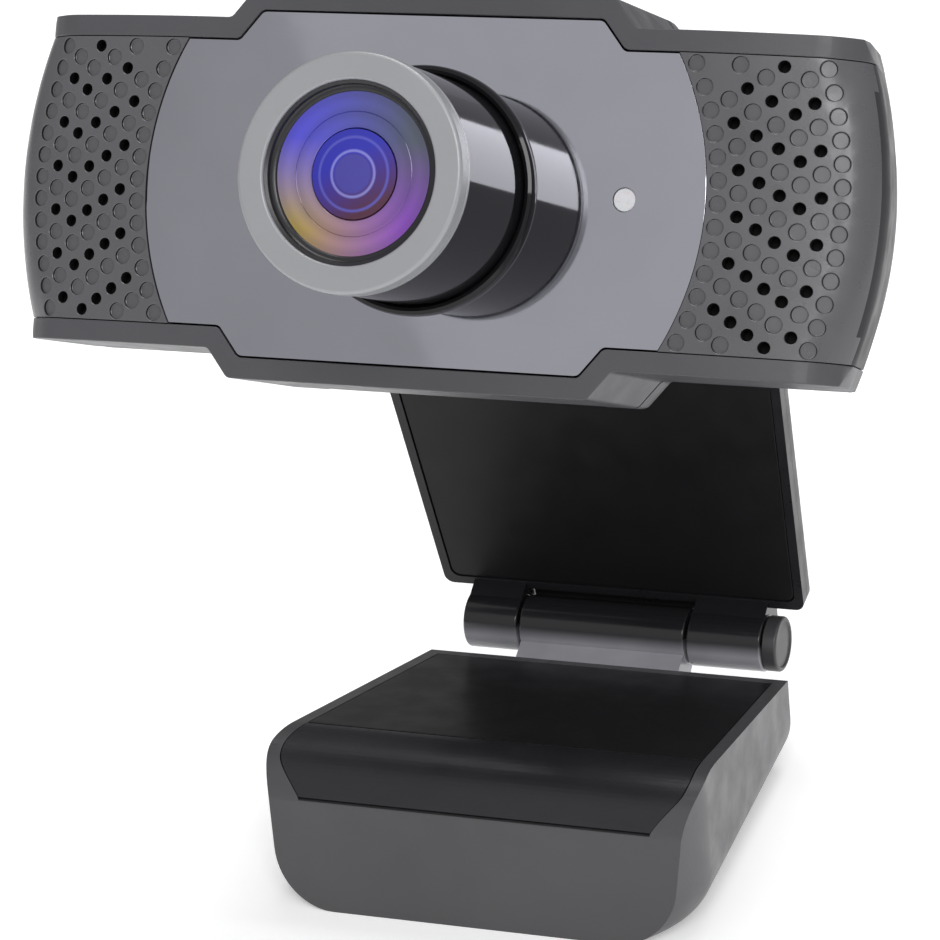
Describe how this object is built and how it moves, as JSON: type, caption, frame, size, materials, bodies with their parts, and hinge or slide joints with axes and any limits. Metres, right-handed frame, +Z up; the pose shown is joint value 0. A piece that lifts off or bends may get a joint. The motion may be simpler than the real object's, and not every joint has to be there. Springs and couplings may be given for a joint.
{
  "type": "webcam on clip stand",
  "caption": "Webcam head with a focusing lens and perforated wings, on a neck that tilts and swivels and a folding clip stand.",
  "frame": {"origin": "on the foot's flat underside, on the centre line", "axes": "+Z up, the lens looks along -Y at the front, +X to the right seen from the front"},
  "size_m": [0.101, 0.0761, 0.1068],
  "materials": {
    "housing_grey": "satin moulded, fine texture",
    "cover_grey": "satin moulded",
    "mirror_panel": "polished, mirror grey",
    "grille_grey": "satin, perforated",
    "gloss_black": "polished black",
    "ring_silver": "satin light grey",
    "coated_glass": "coated, violet and amber reflections",
    "dark_cell": "dark, anti-glare",
    "screw_steel": "zinc plated",
    "board_green": "solder mask",
    "chip_black": "moulded epoxy",
    "header_white": "nylon",
    "soft_rubber": "soft, matt",
    "pad_black": "soft inset pad",
    "clip_black": "semi-gloss black",
    "foot_grey": "satin moulded",
    "brass": "machined",
    "led_white": "diffusing",
    "mic_metal": "satin"
  },
  "bodies": {
    "foot": {"foot_housing": "foot_grey", "foot_pad_rear": "pad_black", "foot_pad_front": "pad_black", "tripod_insert": "brass"},
    "clip": {"clip_plate": "clip_black", "plate_pad": "pad_black", "hinge_pin": "screw_steel", "hinge_cap": "clip_black", "tilt_pin": "screw_steel"},
    "neck": {"neck": "clip_black"},
    "head": {"front_housing": "housing_grey", "front_panel": "mirror_panel", "grille_left": "grille_grey", "grille_right": "grille_grey", "rear_cover": "cover_grey", "lens_barrel": "gloss_black", "barrel_collar": "gloss_black", "main_board": "board_green", "lens_holder": "dark_cell", "ir_filter": "coated_glass", "image_sensor": "chip_black", "processor": "chip_black", "cord_header": "header_white", "status_led": "led_white", "light_pipe": "led_white", "mic_left": "mic_metal", "mic_right": "mic_metal", "mic_boot_left": "soft_rubber", "mic_boot_right": "soft_rubber", "board_screw_1": "screw_steel", "board_screw_2": "screw_steel", "holder_screw_1": "screw_steel", "holder_screw_2": "screw_steel", "cover_screw_1": "screw_steel", "cover_screw_2": "screw_steel", "cover_screw_3": "screw_steel", "cover_screw_4": "screw_steel", "cord_gland": "soft_rubber", "swivel_screw": "screw_steel", "swivel_washer": "screw_steel"},
    "focus": {"focus_ring": "ring_silver", "front_glass": "coated_glass"},
    "cell": {"lens_cell": "dark_cell", "lens_baffle": "dark_cell", "front_element": "coated_glass", "rear_element": "coated_glass"}
  },
  "joints": [
    {"name": "clip_hinge", "type": "hinge", "parent": "foot", "child": "clip", "pos_m": [0, 0.0257, 0.0139], "axis": [1, 0, 0], "range_deg": [-55, 20]},
    {"name": "head_tilt", "type": "hinge", "parent": "clip", "child": "neck", "pos_m": [0, 0.01443, 0.06789], "axis": [1, 0, 0], "range_deg": [-30, 45]},
    {"name": "head_swivel", "type": "hinge", "parent": "neck", "child": "head", "pos_m": [0, -0.00034, 0.07699], "axis": [0, 0.4067, 0.9135], "range_deg": [-25, 25]},
    {"name": "focus_turn", "type": "hinge", "parent": "head", "child": "focus", "pos_m": [0, -0.02364, 0.08736], "axis": [0, -0.9135, 0.4067], "range_deg": [-150, 150]},
    {"name": "cell_slide", "type": "slide", "parent": "head", "child": "cell", "axis": [0, -0.9135, 0.4067], "range_m": [-0.00022, 0.00022]}
  ],
  "couplings": [
    {"joint": "cell_slide", "follows": "focus_turn", "m_per_rad": 0.000079577}
  ]
}
